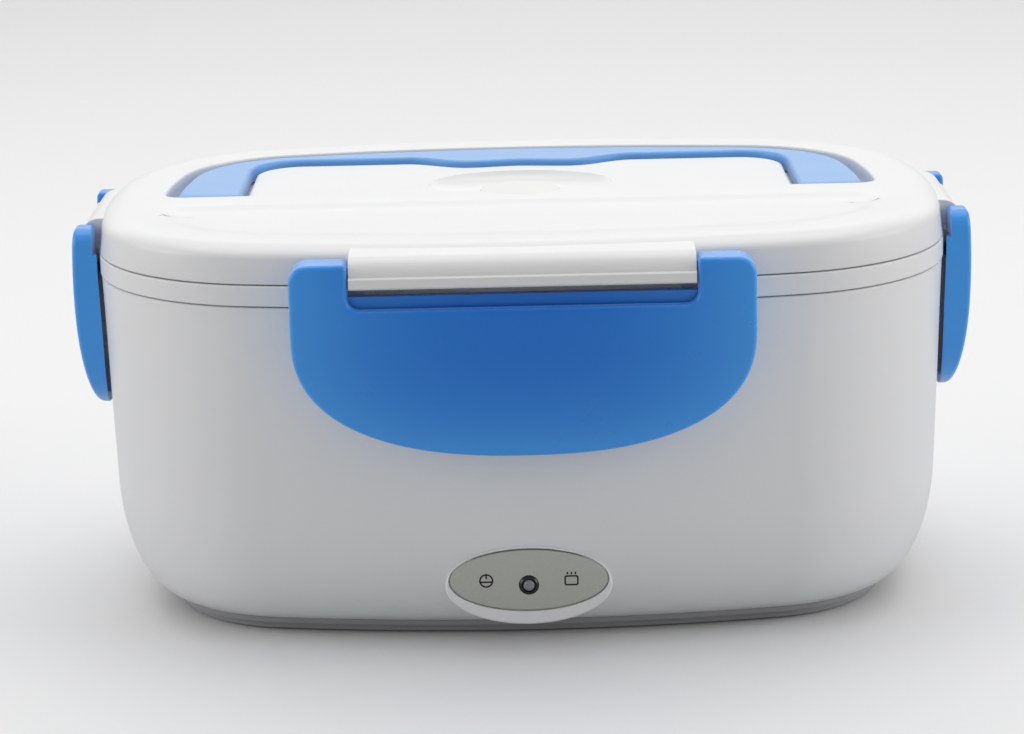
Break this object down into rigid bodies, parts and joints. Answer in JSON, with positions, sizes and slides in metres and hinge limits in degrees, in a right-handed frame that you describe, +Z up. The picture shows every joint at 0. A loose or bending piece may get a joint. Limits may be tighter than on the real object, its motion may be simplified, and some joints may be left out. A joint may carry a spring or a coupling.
{
  "type": "electric lunch box",
  "caption": "Oval electric lunch box: heated base, food tray with removable container, lift-off lid with folding handle, snap latches on every side.",
  "frame": {"origin": "under the middle of the overall size, on the surface that its rubber feet stand on", "axes": "+Z up, +X along the long side towards the container's end, -Y towards the front with the badge and lamp"},
  "size_m": [0.2338, 0.1702, 0.105],
  "materials": {
    "white_pp": "fine satin moulding",
    "blue_pp": "satin moulding",
    "tray_pp": "smooth moulding",
    "steel": "plain zinc plated",
    "aluminium": "satin",
    "contact": "nickel plated",
    "badge": "satin painted",
    "silicone": "matte silicone",
    "foot_rubber": "matte",
    "black_plastic": "satin",
    "black_gloss": "gloss",
    "lamp_grey": "translucent grey",
    "wire": "insulated"
  },
  "bodies": {
    "base": {"outer_shell": "white_pp", "inner_liner": "white_pp", "base_cover": "white_pp", "base_screws": "steel", "rubber_feet": "foot_rubber", "heating_plate": "aluminium", "plate_gasket": "silicone", "heating_element": "aluminium", "heater_clamp": "steel", "clamp_screws": "steel", "thermal_cutout": "black_plastic", "inner_wires": "wire", "inlet_socket": "black_plastic", "contact_pins": "contact", "badge_plate": "badge", "lamp_ring": "black_gloss", "lamp": "lamp_grey"},
    "lid": {"lid_shell": "white_pp", "lid_inner": "white_pp", "seal_ring": "silicone"},
    "vent": {"vent_plug": "silicone"},
    "handle": {"handle": "blue_pp"},
    "front_latch": {"latch_front": "blue_pp"},
    "back_latch": {"latch_back": "blue_pp"},
    "left_latch": {"latch_left": "blue_pp"},
    "right_latch": {"latch_right": "blue_pp"},
    "tray": {"food_tray": "tray_pp"},
    "container": {"removable_container": "tray_pp"}
  },
  "joints": [
    {"name": "lid_lift", "type": "slide", "parent": "base", "child": "lid", "axis": [0, 0, 1], "range_m": [0, 0.2]},
    {"name": "tray_lift", "type": "slide", "parent": "base", "child": "tray", "axis": [0, 0, 1], "range_m": [0, 0.1]},
    {"name": "container_lift", "type": "slide", "parent": "tray", "child": "container", "axis": [0, 0, 1], "range_m": [0, 0.06]},
    {"name": "vent_pull", "type": "slide", "parent": "lid", "child": "vent", "axis": [0, 0, 1], "range_m": [0, 0.006]},
    {"name": "handle_turn", "type": "hinge", "parent": "lid", "child": "handle", "pos_m": [0, 0.0002, 0.10245], "axis": [1, 0, 0], "range_deg": [0, 90]},
    {"name": "front_latch_turn", "type": "hinge", "parent": "lid", "child": "front_latch", "pos_m": [0, -0.0798, 0.10045], "axis": [-1, 0, 0], "range_deg": [0, 120]},
    {"name": "back_latch_turn", "type": "hinge", "parent": "lid", "child": "back_latch", "pos_m": [0, 0.0814, 0.0995], "axis": [1, 0, 0], "range_deg": [0, 120]},
    {"name": "left_latch_turn", "type": "hinge", "parent": "lid", "child": "left_latch", "pos_m": [-0.1132, 0.0022, 0.0995], "axis": [0, 1, 0], "range_deg": [0, 120]},
    {"name": "right_latch_turn", "type": "hinge", "parent": "lid", "child": "right_latch", "pos_m": [0.1132, 0.0022, 0.0995], "axis": [0, -1, 0], "range_deg": [0, 120]}
  ],
  "couplings": [
    {"joint": "tray_lift", "follows": "lid_lift", "ratio": 0.5},
    {"joint": "container_lift", "follows": "lid_lift", "ratio": 0.3}
  ]
}
